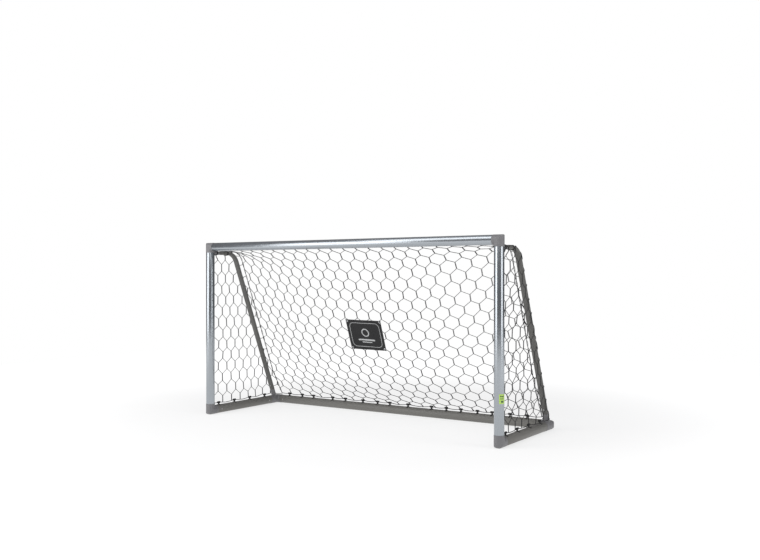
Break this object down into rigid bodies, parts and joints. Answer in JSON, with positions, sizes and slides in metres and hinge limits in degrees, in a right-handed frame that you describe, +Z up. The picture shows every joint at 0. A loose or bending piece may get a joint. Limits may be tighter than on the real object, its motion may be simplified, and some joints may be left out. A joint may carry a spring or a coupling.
{
  "type": "soccer goal frame",
  "caption": "Garden football goal: aluminium front frame, grey base and sloping oval supports in plug-in corners, with a black hexagonal bag net, clips and banner.",
  "frame": {"origin": "on the ground, at the middle of the goal's footprint", "axes": "+X towards the right post, +Y towards the back of the goal, +Z up"},
  "size_m": [2.966, 1.02, 1.56],
  "materials": {
    "anodised_aluminium": "satin anodised extruded tube with fine lengthwise grain",
    "powder_coat": "warm grey textured powder coat, semi-matte",
    "corner_plastic": "moulded grey nylon with a fine spark-eroded grain",
    "spring_steel": "zinc-plated spring steel",
    "clip_plastic": "black moulded nylon",
    "net_cord": "black knotless polyethylene twine",
    "banner_fabric": "coated woven banner cloth with a light printed outline and metal eyelets",
    "label_film": "lime green vinyl label"
  },
  "bodies": {
    "goal": {"crossbar": "anodised_aluminium", "rear_base_bar": "powder_coat", "net_roof": "net_cord", "net_back": "net_cord", "net_left": "net_cord", "net_right": "net_cord", "banner": "banner_fabric", "post_label": "label_film", "net_clip_rear_1": "clip_plastic", "net_clip_rear_2": "clip_plastic", "net_clip_rear_3": "clip_plastic", "net_clip_rear_4": "clip_plastic", "net_clip_rear_5": "clip_plastic", "net_clip_rear_6": "clip_plastic", "net_clip_rear_7": "clip_plastic", "net_clip_rear_8": "clip_plastic", "net_clip_rear_9": "clip_plastic", "net_clip_rear_10": "clip_plastic", "net_clip_rear_11": "clip_plastic", "net_clip_rear_12": "clip_plastic", "net_clip_rear_13": "clip_plastic", "net_clip_rear_14": "clip_plastic", "net_clip_rear_15": "clip_plastic", "net_clip_rear_16": "clip_plastic", "net_clip_left_1": "clip_plastic", "net_clip_left_2": "clip_plastic", "net_clip_left_3": "clip_plastic", "net_clip_left_4": "clip_plastic", "net_clip_right_1": "clip_plastic", "net_clip_right_2": "clip_plastic", "net_clip_right_3": "clip_plastic", "net_clip_right_4": "clip_plastic", "left_post": "anodised_aluminium", "left_base_tube": "powder_coat", "left_support_tube": "powder_coat", "top_corner_left": "corner_plastic", "front_corner_left": "corner_plastic", "rear_corner_left": "corner_plastic", "right_post": "anodised_aluminium", "right_base_tube": "powder_coat", "right_support_tube": "powder_coat", "top_corner_right": "corner_plastic", "front_corner_right": "corner_plastic", "rear_corner_right": "corner_plastic"},
    "button_left_top_crossbar": {"snap_button_left_top_crossbar": "spring_steel"},
    "button_left_top_post": {"snap_button_left_top_post": "spring_steel"},
    "button_left_top_support": {"snap_button_left_top_support": "spring_steel"},
    "button_left_front_post": {"snap_button_left_front_post": "spring_steel"},
    "button_left_front_base": {"snap_button_left_front_base": "spring_steel"},
    "button_left_rear_base": {"snap_button_left_rear_base": "spring_steel"},
    "button_left_rear_bar": {"snap_button_left_rear_bar": "spring_steel"},
    "button_left_rear_support": {"snap_button_left_rear_support": "spring_steel"},
    "button_right_top_crossbar": {"snap_button_right_top_crossbar": "spring_steel"},
    "button_right_top_post": {"snap_button_right_top_post": "spring_steel"},
    "button_right_top_support": {"snap_button_right_top_support": "spring_steel"},
    "button_right_front_post": {"snap_button_right_front_post": "spring_steel"},
    "button_right_front_base": {"snap_button_right_front_base": "spring_steel"},
    "button_right_rear_base": {"snap_button_right_rear_base": "spring_steel"},
    "button_right_rear_bar": {"snap_button_right_rear_bar": "spring_steel"},
    "button_right_rear_support": {"snap_button_right_rear_support": "spring_steel"}
  },
  "joints": [
    {"name": "press_left_top_crossbar", "type": "slide", "parent": "goal", "child": "button_left_top_crossbar", "axis": [0, -1, 0], "range_m": [0, 0.0055], "stiffness_N_per_m": 1500, "springref_m": -0.002},
    {"name": "press_left_top_post", "type": "slide", "parent": "goal", "child": "button_left_top_post", "axis": [0, -1, 0], "range_m": [0, 0.0055], "stiffness_N_per_m": 1500, "springref_m": -0.002},
    {"name": "press_left_top_support", "type": "slide", "parent": "goal", "child": "button_left_top_support", "axis": [0, 0, 1], "range_m": [0, 0.0055], "stiffness_N_per_m": 1500, "springref_m": -0.002},
    {"name": "press_left_front_post", "type": "slide", "parent": "goal", "child": "button_left_front_post", "axis": [0, -1, 0], "range_m": [0, 0.0055], "stiffness_N_per_m": 1500, "springref_m": -0.002},
    {"name": "press_left_front_base", "type": "slide", "parent": "goal", "child": "button_left_front_base", "axis": [-1, 0, 0], "range_m": [0, 0.0055], "stiffness_N_per_m": 1500, "springref_m": -0.002},
    {"name": "press_left_rear_base", "type": "slide", "parent": "goal", "child": "button_left_rear_base", "axis": [-1, 0, 0], "range_m": [0, 0.0055], "stiffness_N_per_m": 1500, "springref_m": -0.002},
    {"name": "press_left_rear_bar", "type": "slide", "parent": "goal", "child": "button_left_rear_bar", "axis": [0, 1, 0], "range_m": [0, 0.0055], "stiffness_N_per_m": 1500, "springref_m": -0.002},
    {"name": "press_left_rear_support", "type": "slide", "parent": "goal", "child": "button_left_rear_support", "axis": [0, 0.9236, 0.3833], "range_m": [0, 0.0055], "stiffness_N_per_m": 1500, "springref_m": -0.002},
    {"name": "press_right_top_crossbar", "type": "slide", "parent": "goal", "child": "button_right_top_crossbar", "axis": [0, -1, 0], "range_m": [0, 0.0055], "stiffness_N_per_m": 1500, "springref_m": -0.002},
    {"name": "press_right_top_post", "type": "slide", "parent": "goal", "child": "button_right_top_post", "axis": [0, -1, 0], "range_m": [0, 0.0055], "stiffness_N_per_m": 1500, "springref_m": -0.002},
    {"name": "press_right_top_support", "type": "slide", "parent": "goal", "child": "button_right_top_support", "axis": [0, 0, 1], "range_m": [0, 0.0055], "stiffness_N_per_m": 1500, "springref_m": -0.002},
    {"name": "press_right_front_post", "type": "slide", "parent": "goal", "child": "button_right_front_post", "axis": [0, -1, 0], "range_m": [0, 0.0055], "stiffness_N_per_m": 1500, "springref_m": -0.002},
    {"name": "press_right_front_base", "type": "slide", "parent": "goal", "child": "button_right_front_base", "axis": [1, 0, 0], "range_m": [0, 0.0055], "stiffness_N_per_m": 1500, "springref_m": -0.002},
    {"name": "press_right_rear_base", "type": "slide", "parent": "goal", "child": "button_right_rear_base", "axis": [1, 0, 0], "range_m": [0, 0.0055], "stiffness_N_per_m": 1500, "springref_m": -0.002},
    {"name": "press_right_rear_bar", "type": "slide", "parent": "goal", "child": "button_right_rear_bar", "axis": [0, 1, 0], "range_m": [0, 0.0055], "stiffness_N_per_m": 1500, "springref_m": -0.002},
    {"name": "press_right_rear_support", "type": "slide", "parent": "goal", "child": "button_right_rear_support", "axis": [0, 0.9236, 0.3833], "range_m": [0, 0.0055], "stiffness_N_per_m": 1500, "springref_m": -0.002}
  ]
}
